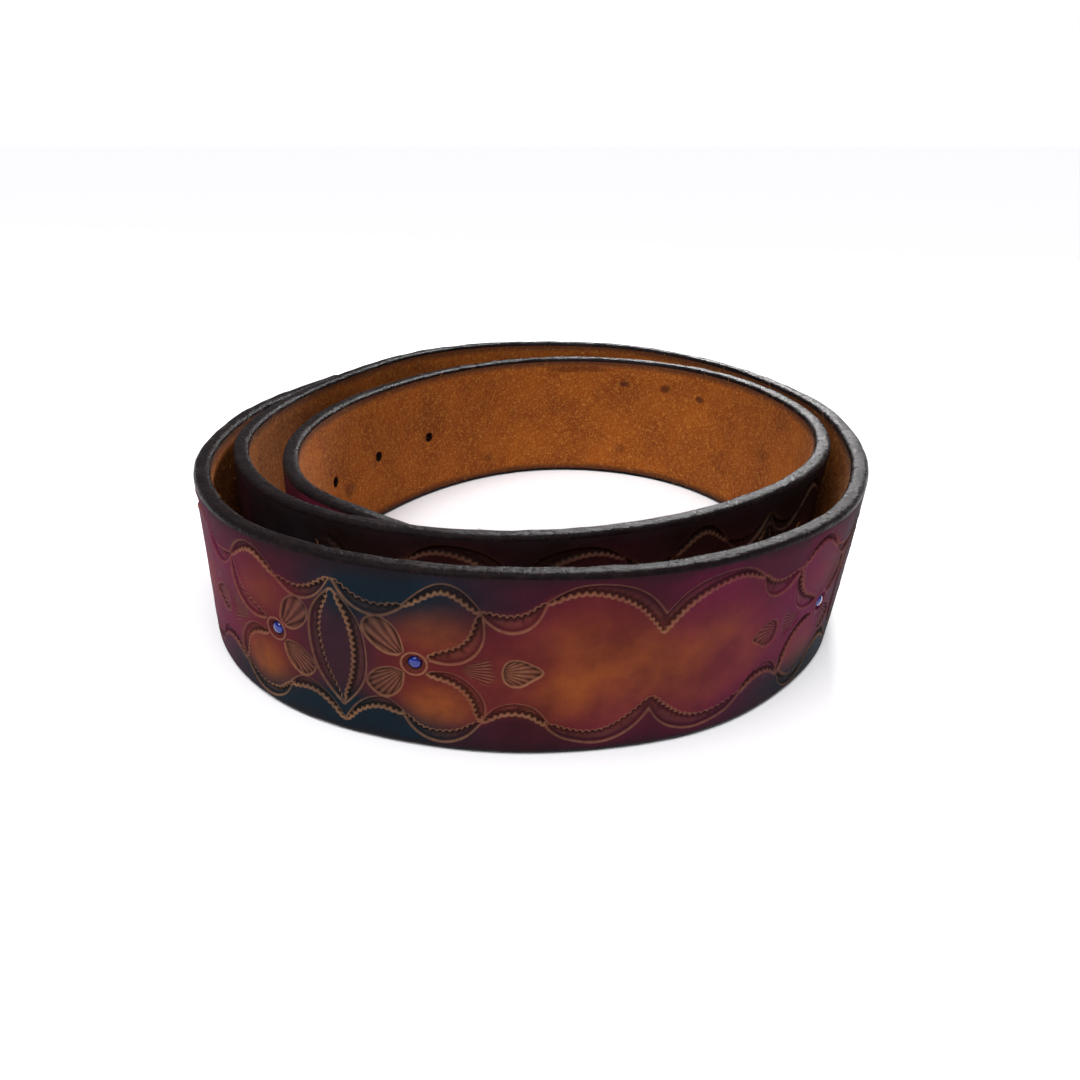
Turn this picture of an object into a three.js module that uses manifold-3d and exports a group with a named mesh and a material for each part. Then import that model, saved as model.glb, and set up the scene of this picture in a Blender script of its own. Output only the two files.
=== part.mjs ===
// A western tooled leather belt without its buckle, rolled up and standing on its edge.
// One thick strap goes round a little over two turns, grain side out, from a square outer end
// to a rounded tip in the middle. Small glass cabochons sit in punched seats in its grain side.
// Millimetres, +Z up, origin on the floor at the middle of the coil, +Y away from the viewer.

import * as THREE from "three";
import { mergeVertices } from "three/addons/utils/BufferGeometryUtils.js";
import Module from "manifold-3d";

// The strap
const strapWidth = 38;
const leather = 3.6;
const edgeBevel = 0.9;

// The strap is lofted through sections, evenly spaced along it and none nearer than this.
const stationCount = 180;
const nearestStations = 0.05;

// The coil
const coilRadius = 80;
const turnClearance = 0.35;
const arcStepsPerRow = 60;

// The second pass, behind the opening, stands a little off the floor. The angles are turns,
// as in the table below.
const backRise = 2.5;
const rising = { from: 375, to: 432 };
const settling = { from: 468, to: 528 };

// The coil's course. turn is the angle from +X in degrees, counted on through all the turns.
// reach is the middle of the leather from the coil's axis, as a share of coilRadius, before
// each turn is drawn in by its own thickness.
const course = [
  { turn: 135, reach: 0.946 },
  { turn: 165, reach: 0.937 },
  { turn: 195, reach: 1.011 },
  { turn: 225, reach: 1.09 },
  { turn: 255, reach: 1.061 },
  { turn: 285, reach: 1.027 },
  { turn: 315, reach: 0.992 },
  { turn: 345, reach: 0.973 },
  { turn: 375, reach: 1.049 },
  { turn: 405, reach: 1.141 },
  { turn: 435, reach: 1.152 },
  { turn: 465, reach: 1.062 },
  { turn: 495, reach: 0.939 },
  { turn: 525, reach: 0.932 },
  { turn: 555, reach: 0.964 },
  { turn: 585, reach: 0.977 },
  { turn: 615, reach: 0.925 },
  { turn: 645, reach: 0.866 },
  { turn: 675, reach: 0.862 },
  { turn: 705, reach: 0.932 },
  { turn: 735, reach: 1.015 },
  { turn: 765, reach: 1.103 },
  { turn: 795, reach: 1.059 },
  { turn: 825, reach: 0.9 },
  { turn: 855, reach: 0.792 },
  { turn: 885, reach: 0.79 },
  { turn: 915, reach: 0.863 },
  { turn: 945, reach: 0.949 },
  { turn: 975, reach: 0.896 },
];

// The ends
const outerCorner = 4;
const tipLength = 38;
const tipBlunt = 5;

// Where extra sections stand in a rounding, as shares of it. At the tip it is the last share
// of the tip's length, where the outline turns fastest.
const roundingShares = [0.08, 0.25, 0.5, 1];
const tipEndShare = 0.14;

// The punched holes by the tip
const holeCount = 5;
const holePitch = 24.1;
const holeDiameter = 3;
const lastHoleFromTip = 47;
const punchThrough = 3; // thicknesses of leather

// The stones, two to each motif of the tooling, one either side of its centre
const motifCount = 8;
const motifPitch = 116.3;
const firstMotif = 31.9;
const stoneSpread = 28.9;
const stoneDiameter = 2.6;
const stoneDome = 0.75;
const domeLifts = [30, 60]; // degrees
const stoneGirdle = 0.35;
const stoneProud = 0.15;
const seatClearance = 0.3;

const roundSides = 12;

const wasm = await Module();
wasm.setup();

const leatherFinish = new THREE.MeshStandardMaterial({
  color: 0x5d2438,
  roughness: 0.5,
  metalness: 0,
});
const stoneFinish = new THREE.MeshStandardMaterial({
  color: 0x2c56c8,
  roughness: 0.12,
  metalness: 0,
});

// Each turn is drawn in by the leather's thickness and the gap to the turn outside it.
function coursePoint({ turn, reach }) {
  const drawnIn = ((leather + turnClearance) * (turn - course[0].turn)) / 360;
  const radius = coilRadius * reach - drawnIn;
  const angle = THREE.MathUtils.degToRad(turn);
  return new THREE.Vector3(radius * Math.cos(angle), radius * Math.sin(angle), 0);
}

// The middle of the leather along the floor, with arc lengths measured finely enough for
// even steps.
const centreLine = new THREE.CatmullRomCurve3(course.map(coursePoint), false, "centripetal");
centreLine.arcLengthDivisions = course.length * arcStepsPerRow;
const strapLength = centreLine.getLength();

function riseAt(turn) {
  const up = THREE.MathUtils.smoothstep(turn, rising.from, rising.to);
  const down = THREE.MathUtils.smoothstep(turn, settling.from, settling.to);
  return backRise * up * (1 - down);
}

// The place on the strap at a distance from its outer end: the middle of its thickness at
// its bottom edge, the way along it, and the way out through its grain side.
function placeAt(distance) {
  const share = THREE.MathUtils.clamp(distance / strapLength, 0, 1);
  const middle = centreLine.getPointAt(share);
  const along = centreLine.getTangentAt(share);
  const courseShare = centreLine.getUtoTmapping(share);
  middle.z = riseAt(THREE.MathUtils.lerp(course[0].turn, course.at(-1).turn, courseShare));
  const outward = new THREE.Vector3(along.y, -along.x, 0);
  return { middle, along, outward };
}

// Half the strap's width at a distance from its outer end: its corners are rounded there,
// and its tip is drawn in along a quarter ellipse to a blunt end.
function halfWidthAt(distance) {
  const half = strapWidth / 2;
  const toCorner = Math.max(0, outerCorner - distance);
  const cornerCut = outerCorner - Math.sqrt(outerCorner ** 2 - toCorner ** 2);
  const intoTip = Math.max(0, distance - (strapLength - tipLength)) / tipLength;
  const tipShare = Math.sqrt(Math.max(0, 1 - intoTip ** 2));
  return tipBlunt + (half - tipBlunt) * tipShare - cornerCut;
}

// Distances of the strap's stations: even along the strap, closer where an end is rounded.
function stations() {
  const list = [];
  for (let i = 0; i <= stationCount; i++) list.push((strapLength * i) / stationCount);
  for (const share of roundingShares) {
    list.push(outerCorner * share);
    list.push(strapLength - tipLength * tipEndShare * share);
  }
  const sorted = list.sort((a, b) => a - b);
  return sorted.filter((d, i) => i === 0 || d - sorted[i - 1] > nearestStations);
}

// A closed body through eight-sided sections, one at each station.
function strapBody() {
  const position = [];
  const index = [];
  const distances = stations();
  const side = leather / 2;
  let corners = 0;
  for (const distance of distances) {
    const { middle, outward } = placeAt(distance);
    const half = halfWidthAt(distance);
    const section = [
      [side - edgeBevel, -half],
      [side, -half + edgeBevel],
      [side, half - edgeBevel],
      [side - edgeBevel, half],
      [edgeBevel - side, half],
      [-side, half - edgeBevel],
      [-side, -half + edgeBevel],
      [edgeBevel - side, -half],
    ];
    corners = section.length;
    for (const [out, up] of section) {
      position.push(middle.x + outward.x * out, middle.y + outward.y * out);
      position.push(middle.z + strapWidth / 2 + up);
    }
  }
  for (let i = 0; i < distances.length - 1; i++) {
    for (let k = 0; k < corners; k++) {
      const a = i * corners + k;
      const b = i * corners + ((k + 1) % corners);
      index.push(a, a + corners, b, b, a + corners, b + corners);
    }
  }
  const last = (distances.length - 1) * corners;
  for (let k = 1; k < corners - 1; k++) {
    index.push(0, k, k + 1);
    index.push(last, last + k + 1, last + k);
  }
  const geometry = new THREE.BufferGeometry();
  geometry.setAttribute("position", new THREE.Float32BufferAttribute(position, 3));
  geometry.setIndex(index);
  return geometry;
}

function solidFrom(geometry) {
  const bare = geometry.clone();
  bare.deleteAttribute("normal");
  bare.deleteAttribute("uv");
  const merged = mergeVertices(bare, 1e-4);
  return new wasm.Manifold(
    new wasm.Mesh({
      numProp: 3,
      vertProperties: new Float32Array(merged.attributes.position.array),
      triVerts: new Uint32Array(merged.index.array),
    }),
  );
}

function geometryFrom(solid) {
  const mesh = solid.getMesh();
  const geometry = new THREE.BufferGeometry();
  geometry.setAttribute("position", new THREE.BufferAttribute(mesh.vertProperties, 3));
  geometry.setIndex(new THREE.BufferAttribute(mesh.triVerts, 1));
  return geometry.toNonIndexed();
}

// Stands a piece made round +Y on the strap at mid width: its own origin goes `out` from the
// middle of the leather, and its +Y points out through the grain side.
function standOnStrap(geometry, distance, out) {
  const { middle, along, outward } = placeAt(distance);
  const matrix = new THREE.Matrix4().makeBasis(
    along,
    outward,
    new THREE.Vector3().crossVectors(along, outward),
  );
  matrix.setPosition(
    middle.x + outward.x * out,
    middle.y + outward.y * out,
    middle.z + strapWidth / 2,
  );
  return geometry.applyMatrix4(matrix);
}

function holePunch(number) {
  const distance = strapLength - lastHoleFromTip - number * holePitch;
  const punch = new THREE.CylinderGeometry(
    holeDiameter / 2,
    holeDiameter / 2,
    leather * punchThrough,
    roundSides,
  );
  return standOnStrap(punch, distance, 0);
}

// The stone's girdle stands below the grain, so that only the top of its dome is proud.
const stoneRadius = stoneDiameter / 2;
const girdleTop = leather / 2 + stoneProud - stoneDome;
const seatFloor = girdleTop - stoneGirdle - seatClearance;

function stoneSeat(distance) {
  const depth = leather - seatFloor;
  const radius = stoneRadius + seatClearance;
  const cut = new THREE.CylinderGeometry(radius, radius, depth, roundSides);
  return standOnStrap(cut, distance, seatFloor + depth / 2);
}

function stone(distance) {
  const profile = [
    new THREE.Vector2(0, -stoneGirdle),
    new THREE.Vector2(stoneRadius, -stoneGirdle),
    new THREE.Vector2(stoneRadius, 0),
  ];
  for (const lift of domeLifts) {
    const angle = THREE.MathUtils.degToRad(lift);
    profile.push(new THREE.Vector2(stoneRadius * Math.cos(angle), stoneDome * Math.sin(angle)));
  }
  profile.push(new THREE.Vector2(0, stoneDome));
  return standOnStrap(new THREE.LatheGeometry(profile, roundSides), distance, girdleTop);
}

function stoneDistances() {
  const list = [];
  for (let motif = 0; motif < motifCount; motif++) {
    const centre = firstMotif + motif * motifPitch;
    list.push(centre - stoneSpread / 2, centre + stoneSpread / 2);
  }
  return list;
}

function strap() {
  const cuts = stoneDistances().map((distance) => solidFrom(stoneSeat(distance)));
  for (let number = 0; number < holeCount; number++) cuts.push(solidFrom(holePunch(number)));
  return geometryFrom(solidFrom(strapBody()).subtract(wasm.Manifold.union(cuts)));
}

function meshOf(name, geometry, material) {
  geometry.computeVertexNormals();
  const mesh = new THREE.Mesh(geometry, material);
  mesh.name = name;
  return mesh;
}

const coil = new THREE.Group();
coil.add(meshOf("strap", strap(), leatherFinish));
stoneDistances().forEach((distance, i) => {
  const name = "stone_" + String(i + 1).padStart(2, "0");
  coil.add(meshOf(name, stone(distance), stoneFinish));
});

// The coil is centred over the origin by its own box.
const middleOfCoil = new THREE.Box3().setFromObject(coil).getCenter(new THREE.Vector3());
coil.position.set(-middleOfCoil.x, -middleOfCoil.y, 0);

const belt = new THREE.Group();
belt.add(coil);

export default belt;
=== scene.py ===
import math

import bpy
import numpy as np
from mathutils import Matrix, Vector


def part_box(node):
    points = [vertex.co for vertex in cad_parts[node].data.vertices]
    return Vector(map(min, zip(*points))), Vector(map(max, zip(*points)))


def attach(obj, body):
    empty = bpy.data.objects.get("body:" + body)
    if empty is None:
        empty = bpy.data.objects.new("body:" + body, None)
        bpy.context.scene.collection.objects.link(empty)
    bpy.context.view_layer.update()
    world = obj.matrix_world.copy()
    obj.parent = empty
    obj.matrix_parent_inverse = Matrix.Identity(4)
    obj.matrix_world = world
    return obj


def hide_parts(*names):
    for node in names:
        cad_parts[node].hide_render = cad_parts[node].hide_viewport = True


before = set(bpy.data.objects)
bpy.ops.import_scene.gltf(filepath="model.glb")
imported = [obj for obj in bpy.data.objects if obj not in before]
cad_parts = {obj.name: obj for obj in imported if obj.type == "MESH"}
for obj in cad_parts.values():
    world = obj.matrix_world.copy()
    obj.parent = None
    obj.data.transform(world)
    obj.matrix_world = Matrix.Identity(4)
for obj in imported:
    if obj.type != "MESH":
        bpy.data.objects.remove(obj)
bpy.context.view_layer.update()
mm = 0.001
print("frame:", len(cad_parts), "nodes")


# Node wiring, for materials and Geometry Nodes alike

class Wire:
    def __init__(self, sheet, socket):
        self.sheet = sheet
        self.socket = socket

    def maths(self, operation, *values, clamp=False):
        settings = {"operation": operation, "use_clamp": clamp}
        return self.sheet.node("ShaderNodeMath", settings, dict(enumerate(values)))

    def __add__(self, other):
        return self.maths("ADD", self, other)

    def __radd__(self, other):
        return self.maths("ADD", other, self)

    def __sub__(self, other):
        return self.maths("SUBTRACT", self, other)

    def __rsub__(self, other):
        return self.maths("SUBTRACT", other, self)

    def __mul__(self, other):
        return self.maths("MULTIPLY", self, other)

    def __rmul__(self, other):
        return self.maths("MULTIPLY", other, self)

    def held(self):  # kept between 0 and 1
        return self.maths("ADD", self, 0.0, clamp=True)


class NodeSheet:
    def __init__(self, tree):
        self.tree = tree

    def node(self, kind, settings=None, inputs=None, output=0):
        made = self.tree.nodes.new(kind)
        for name, value in (settings or {}).items():
            if name == "stops":
                self.setStops(made.color_ramp, value)
            else:
                setattr(made, name, value)
        for key, value in (inputs or {}).items():
            if isinstance(value, Wire):
                self.tree.links.new(value.socket, made.inputs[key])
            else:
                made.inputs[key].default_value = value
        return Wire(self, made.outputs[output]) if len(made.outputs) else None

    def setStops(self, ramp, stops):
        while len(ramp.elements) < len(stops):
            ramp.elements.new(1.0)
        for element, (place, value) in zip(ramp.elements, stops):
            element.position = place
            element.color = (value, value, value, 1.0)

    def ramp(self, factor, *stops):
        return self.node("ShaderNodeValToRGB", {"stops": stops}, {0: factor})

    def blend(self, factor, first, second, mode="MIX"):
        settings = {"data_type": "RGBA", "blend_type": mode}
        return self.node("ShaderNodeMix", settings, {0: factor, 6: first, 7: second}, 2)

    def attribute(self, name, output="Fac"):
        return self.node("ShaderNodeAttribute", {"attribute_name": name}, None, output)

    def place(self):
        return self.node("ShaderNodeTexCoord", None, None, "Object")

    def noise(self, scale, detail, **more):
        inputs = {"Vector": self.place(), "Scale": scale, "Detail": detail, **more}
        return self.node("ShaderNodeTexNoise", None, inputs)

    def bump(self, height, strength, distance):
        inputs = {"Height": height, "Strength": strength, "Distance": distance}
        return self.node("ShaderNodeBump", None, inputs)

    def vector(self, operation, *values, output=0):
        settings = {"operation": operation}
        return self.node("ShaderNodeVectorMath", settings, dict(enumerate(values)), output)

    def point(self, x, y, z):
        return self.node("ShaderNodeCombineXYZ", None, {"X": x, "Y": y, "Z": z})

    def chance(self, low, high, seed):
        inputs = {2: low, 3: high, "Seed": seed}
        return self.node("FunctionNodeRandomValue", {"data_type": "FLOAT"}, inputs, 1)


def tint(red, green, blue):  # a colour as a paint chart gives it, 0 to 255
    linear = []
    for part in (red, green, blue):
        part = part / 255
        linear.append(part / 12.92 if part < 0.04045 else ((part + 0.055) / 1.055) ** 2.4)
    return (*linear, 1.0)


def newMaterial(name):
    material = bpy.data.materials.new(name)
    material.use_nodes = True
    material.node_tree.nodes.clear()
    sheet = NodeSheet(material.node_tree)
    sheet.material = material
    return sheet


def finishShader(sheet, colour, roughness, gloss, **more):
    inputs = {"Base Color": colour, "Roughness": roughness, "Specular IOR Level": gloss, **more}
    shader = sheet.node("ShaderNodeBsdfPrincipled", None, inputs)
    sheet.node("ShaderNodeOutputMaterial", None, {0: shader})
    return sheet.material


def putOut(name, data):
    thing = bpy.data.objects.new(name, data)
    bpy.context.scene.collection.objects.link(thing)
    return thing


def settledMesh(thing):  # a plain mesh of the object, with its modifiers applied and removed
    graph = bpy.context.evaluated_depsgraph_get()
    mesh = bpy.data.meshes.new_from_object(thing.evaluated_get(graph))
    thing.modifiers.clear()
    return mesh


# Camera, floor and light

photoView = {
    "place": (-0.02178, -0.20309, 0.09725),
    "pitchDown": 32.974,
    "lens": 26.536,
    "sensor": 36,
    "shift": (0.0833, 0.1111),
}

studio = {
    "floorSize": 60.0,
    "floorDrop": -0.05,
    "floorTone": (238, 237, 240),
    "skyTone": (255, 255, 255),
    "skyStrength": 0.22,
    "ceiling": {"tilt": (14, -8, 0), "spread": 50, "strength": 3.15},
    "lamps": [
        # name, place, aimed at, size, watts
        ("windowFront", (-0.35, -0.70, 0.60), (0, 0, 0.02), 0.22, 1.6),
        ("rimBack", (0.25, 0.62, 0.38), (0.015, -0.085, 0.038), 0.12, 6.5),
    ],
}


def setCamera():
    data = bpy.data.cameras.new("photoCamera")
    data.lens = photoView["lens"]
    data.sensor_width = photoView["sensor"]
    data.shift_x, data.shift_y = photoView["shift"]
    data.clip_start = 0.005
    camera = putOut("photoCamera", data)
    camera.location = photoView["place"]
    camera.rotation_euler = (math.radians(90 - photoView["pitchDown"]), 0, 0)
    bpy.context.scene.camera = camera


def setStudio():
    half = studio["floorSize"] / 2
    ground = bpy.data.meshes.new("floor")
    drop = studio["floorDrop"] * mm
    corners = [(-half, -half, drop), (half, -half, drop), (half, half, drop), (-half, half, drop)]
    ground.from_pydata(corners, [], [(0, 1, 2, 3)])
    paper = newMaterial("floorPaper")
    ground.materials.append(finishShader(paper, tint(*studio["floorTone"]), 0.9, 0.1))
    floor = putOut("floor", ground)
    for name, place, target, size, watts in studio["lamps"]:
        lamp = bpy.data.lights.new(name, "AREA")
        lamp.size = size
        lamp.energy = watts
        thing = putOut(name, lamp)
        thing.location = place
        thing.rotation_euler = (Vector(target) - Vector(place)).to_track_quat("-Z", "Y").to_euler()
    ceiling = bpy.data.lights.new("ceiling", "SUN")
    ceiling.angle = math.radians(studio["ceiling"]["spread"])
    ceiling.energy = studio["ceiling"]["strength"]
    tilt = [math.radians(turn) for turn in studio["ceiling"]["tilt"]]
    putOut("ceiling", ceiling).rotation_euler = tilt
    world = bpy.data.worlds.new("paleRoom")
    bpy.context.scene.world = world
    world.use_nodes = True
    room = NodeSheet(world.node_tree)
    world.node_tree.nodes.clear()
    seen = room.node("ShaderNodeLightPath", None, None, "Is Camera Ray")
    strength = seen * (1.0 - studio["skyStrength"]) + studio["skyStrength"]
    sky = room.node("ShaderNodeBackground", None, {0: tint(*studio["skyTone"]), 1: strength})
    room.node("ShaderNodeOutputWorld", None, {0: sky})
    bpy.context.scene.view_settings.view_transform = "Standard"


setCamera()
setStudio()
print("camera, floor and light set")


# The coil: the same course as the strap node's. Each row is a turn angle and a reach

coil = {
    "radius": 80.0,
    "leather": 3.6,
    "width": 38.0,
    "clearance": 0.35,
    "backRise": 2.5,
    "rising": (375, 432),
    "settling": (468, 528),
    "course": [
        (135, 0.946), (165, 0.937), (195, 1.011), (225, 1.09), (255, 1.061), (285, 1.027),
        (315, 0.992), (345, 0.973), (375, 1.049), (405, 1.141), (435, 1.152), (465, 1.062),
        (495, 0.939), (525, 0.932), (555, 0.964), (585, 0.977), (615, 0.925), (645, 0.866),
        (675, 0.862), (705, 0.932), (735, 1.015), (765, 1.103), (795, 1.059), (825, 0.9),
        (855, 0.792), (885, 0.79), (915, 0.863), (945, 0.949), (975, 0.896),
    ],
    "finePoints": 8401,  # places worked out along the course
}


def naturalSpline(knots, values, at):
    count = len(knots)
    gaps = np.diff(knots)
    system = np.eye(count)
    pull = np.zeros_like(values)
    for i in range(1, count - 1):
        system[i, i - 1:i + 2] = gaps[i - 1], 2 * (gaps[i - 1] + gaps[i]), gaps[i]
        ahead = (values[i + 1] - values[i]) / gaps[i]
        behind = (values[i] - values[i - 1]) / gaps[i - 1]
        pull[i] = 6 * (ahead - behind)
    bend = np.linalg.solve(system, pull)
    k = np.clip(np.searchsorted(knots, at) - 1, 0, count - 2)
    gap = gaps[k][:, None]
    after = (at - knots[k])[:, None] / gap
    before = 1 - after
    curve = ((before ** 3 - before) * bend[k] + (after ** 3 - after) * bend[k + 1]) * gap ** 2 / 6
    return before * values[k] + after * values[k + 1] + curve


def smoothStep(value, low, high):
    share = np.clip((value - low) / (high - low), 0, 1)
    return share * share * (3 - 2 * share)


def layCoil():
    turns, reaches = np.array(coil["course"]).T
    drawnIn = (coil["leather"] + coil["clearance"]) * (turns - turns[0]) / 360
    radius = coil["radius"] * reaches - drawnIn
    knots = np.stack([radius * np.cos(np.radians(turns)), radius * np.sin(np.radians(turns))], 1)
    fineTurns = np.linspace(turns[0], turns[-1], coil["finePoints"])
    middle = naturalSpline(turns, knots, fineTurns)
    steps = np.hypot(*np.diff(middle, axis=0).T)
    along = np.gradient(middle, axis=0)
    along /= np.hypot(*along.T)[:, None]
    outward = np.stack([along[:, 1], -along[:, 0]], 1)
    side = outward * coil["leather"] / 2
    both = np.concatenate([middle + side, middle - side])
    low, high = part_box("strap")
    wanted = np.array([low.x + high.x, low.y + high.y]) / 2 / mm
    middle += wanted - (both.min(0) + both.max(0)) / 2
    lift = smoothStep(fineTurns, *coil["rising"]) * (1 - smoothStep(fineTurns, *coil["settling"]))
    return {
        "distance": np.concatenate([[0], np.cumsum(steps)]),
        "middle": middle,
        "outward": outward,
        "lift": lift * coil["backRise"],
    }


route = layCoil()
strapLength = float(route["distance"][-1])


def alongRoute(name, distance):
    table = route[name]
    if table.ndim == 1:
        return np.interp(distance, route["distance"], table)
    return np.stack([np.interp(distance, route["distance"], table[:, i]) for i in (0, 1)], -1)


ripples = {  # strength, length and seed
    "handAlong": (0.4, 34, 11),
    "handUp": (0.3, 41, 12),
    "sides": (0.16, 46, 31),
    "edges": (0.07, 9, 32),
    "magenta": (0.12, 30, 21),
    "dark": (0.1, 20, 23),
    "cloud": (0.35, 14, 22),
    "lines": (0.2, 17, 33),
}


def ripple(s, v, name):  # smooth seeded unevenness
    strength, length, seed = ripples[name]
    dice = np.random.default_rng(seed)
    waves = 7
    total = np.zeros_like(s)
    for _ in range(waves):
        heading = dice.uniform(0, 2 * math.pi)
        pace = 2 * math.pi / (length * dice.uniform(0.7, 1.5))
        phase = dice.uniform(0, 2 * math.pi)
        total += np.sin(pace * (s * math.cos(heading) + v * math.sin(heading)) + phase)
    return strength * (total / math.sqrt(waves))


print("coil laid, strap", round(strapLength), "mm long")


# The tooling. Outlines are for half a repeat, mirrored at both of its ends. a runs along the
# strap from the middle of the lens, v up from the middle of the strap's width

tooling = {
    "repeat": 116.3,
    "firstLens": 31.9,
    "lensCount": 8,
    "start": 9.0,
    "end": 904.15,
    "stoneFromLens": 14.45,
    "stoneSearch": 12.0,
    "toothPitch": 1.3,
    "toothDepth": 0.65,
    "pressDepth": 0.6,
    "wall": (-0.04, 0.34),
    "lipHeight": 0.1,
    "toothStep": 0.14,
    "toothFade": 1.2,
    "smoothEdgeCut": 0.45,
    "leafCut": 0.6,
    "leafPress": 0.62,
    "easing": (0.45, 1.1),
    "lip": 0.22,
    "ribPace": 4.2,
    "ribLean": 0.25,
    "ribReach": 0.8,
    "crescents": [
        # smooth edge, then toothed edge
        ([(0.3, 14.6), (4.2, 9.9), (8.8, 9.0), (12.7, 11.4)],
         [(0.3, 14.6), (5.0, 11.5), (8.8, 10.8), (12.7, 11.9)]),
        ([(12.7, 11.7), (16.5, 15.4), (19.5, 16.6), (23.4, 15.3), (26.3, 12.0)],
         [(12.7, 11.7), (16.5, 14.3), (19.6, 15.4), (23.0, 14.1), (26.1, 11.7)]),
        ([(26.1, 11.8), (29.0, 9.0), (32.5, 8.1), (35.7, 9.6), (37.6, 13.4)],
         [(26.1, 11.8), (29.5, 10.9), (32.6, 10.8), (35.0, 11.5), (37.6, 13.6)]),
        ([(37.5, 13.5), (42.0, 16.1), (46.7, 16.5), (51.3, 15.6), (55.1, 13.4), (58.3, 9.6)],
         [(37.5, 13.3), (41.3, 15.0), (45.2, 15.2), (49.0, 14.2), (52.1, 12.7), (54.6, 10.7),
          (56.6, 8.6), (57.6, 7.3), (58.3, 6.0)]),
        ([(0.2, -15.4), (3.0, -11.4), (5.7, -9.4), (8.8, -8.7), (12.4, -11.2)],
         [(0.2, -15.9), (2.2, -13.3), (4.9, -11.4), (8.0, -10.6), (12.2, -11.8)]),
        ([(12.2, -11.4), (14.2, -14.8), (16.8, -16.8), (19.9, -17.5), (23.4, -16.3), (26.6, -12.1)],
         [(12.4, -11.5), (15.7, -14.6), (19.5, -15.3), (22.6, -14.7), (26.3, -11.8)]),
        ([(26.9, -11.4), (29.5, -8.0), (32.6, -7.1), (35.7, -7.9), (38.8, -11.6)],
         [(26.9, -12.0), (29.5, -9.9), (32.6, -9.2), (35.7, -9.9), (38.6, -12.2)]),
        ([(38.2, -12.0), (40.5, -14.5), (44.4, -16.1), (48.2, -16.6), (52.8, -15.3), (55.9, -12.9),
          (58.3, -9.2)],
         [(38.3, -11.8), (41.5, -13.1), (45.1, -14.0), (49.8, -13.6), (53.6, -11.3), (56.7, -8.5),
          (58.3, -6.8)]),
        ([(26.5, 11.6), (26.7, 6.7), (24.3, 2.7), (20.3, 1.1), (16.8, 1.6)],
         [(26.0, 11.2), (24.9, 7.4), (22.6, 4.7), (19.9, 3.3), (16.8, 1.9)]),
        ([(16.8, -1.3), (20.6, -0.8), (24.9, -3.6), (27.1, -7.7), (27.1, -11.7)],
         [(16.8, -1.7), (20.3, -2.4), (23.3, -4.3), (25.2, -7.3), (26.3, -11.5)]),
        ([(0.2, 12.5), (4.5, 7.5), (5.9, 0.9), (4.6, -6.4), (0.1, -12.2)],
         [(0.9, 11.6), (3.0, 7.3), (3.9, 1.3), (3.0, -4.8), (0.5, -10.9)]),
    ],
    "leaves": [
        # outline, the point its ribs spread from, and how many ribs
        ([(12.9, 1.9), (12.3, 5.2), (10.8, 7.7), (8.8, 8.7), (6.9, 8.2), (5.9, 6.6), (6.4, 4.4),
          (8.0, 2.5), (10.4, 1.4)], (13.6, 0.6), 6),
        ([(12.7, -1.9), (12.4, -4.6), (11.0, -7.2), (8.8, -8.3), (6.7, -7.3), (5.7, -5.6), (6.6, -3.7),
          (8.4, -2.2), (10.6, -1.5)], (13.6, -0.6), 12),
        ([(30.2, 0.3), (31.0, 2.2), (33.0, 2.6), (35.4, 1.6), (37.4, -0.1), (35.4, -1.8), (33.0, -3.1),
          (31.0, -2.4)], (29.2, -0.2), 8),
    ],
    "fan": {"apex": (20.6, 0.0), "inner": 2.6, "outer": 7.6, "halfAngle": 21.0, "ribs": 7,
            "depth": 0.22},
    "ring": {"ridge": 2.3, "ridgeWidth": 0.34, "ridgeHeight": 0.18, "channel": 1.75,
             "channelWidth": 0.26, "channelDepth": 0.16, "ticks": 16, "calm": (2.7, 3.4), "edge": 2.9,
             "reach": 6.0},
    "seat": {"radius": 1.4, "wall": 0.25, "depth": 1.1},
}


def curveThrough(points, step):
    points = np.array(points, float)
    knots = np.concatenate([[0], np.cumsum(np.hypot(*np.diff(points, axis=0).T))])
    at = np.linspace(0, knots[-1], max(8, int(knots[-1] / step)))
    return naturalSpline(knots, points, at), at


def toothed(points, awayFrom):
    line, travelled = curveThrough(points, tooling["toothStep"])
    heading = np.gradient(line, axis=0)
    heading /= np.hypot(*heading.T)[:, None]
    side = np.stack([-heading[:, 1], heading[:, 0]], 1)
    if ((line.mean(0) - awayFrom) * side[len(side) // 2]).sum() < 0:
        side = -side
    teeth = round(travelled[-1] / tooling["toothPitch"])
    wave = np.abs(np.sin(math.pi * teeth * travelled / travelled[-1]))
    fade = smoothStep(travelled, 0, tooling["toothFade"])
    fade = fade * smoothStep(travelled[-1] - travelled, 0, tooling["toothFade"])
    return line + side * (tooling["toothDepth"] * wave * fade)[:, None]


def makeOutlines():
    outlines = []
    for smooth, teeth in tooling["crescents"]:
        edge, _ = curveThrough(smooth, 0.4)
        serrated = toothed(teeth, edge.mean(0))
        ring = np.concatenate([edge, serrated[::-1], edge[:1]])
        outlines.append({"ring": ring, "smoothSteps": len(edge)})
    for points, spread, ribs in tooling["leaves"]:
        ring, _ = curveThrough(points + points[:1], 0.3)
        outlines.append({"ring": ring, "spread": spread, "ribs": ribs})
    return outlines


outlines = makeOutlines()
farAway = 3.0  # an outline leaves no mark beyond this
batch = 6000  # points measured at once


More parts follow.
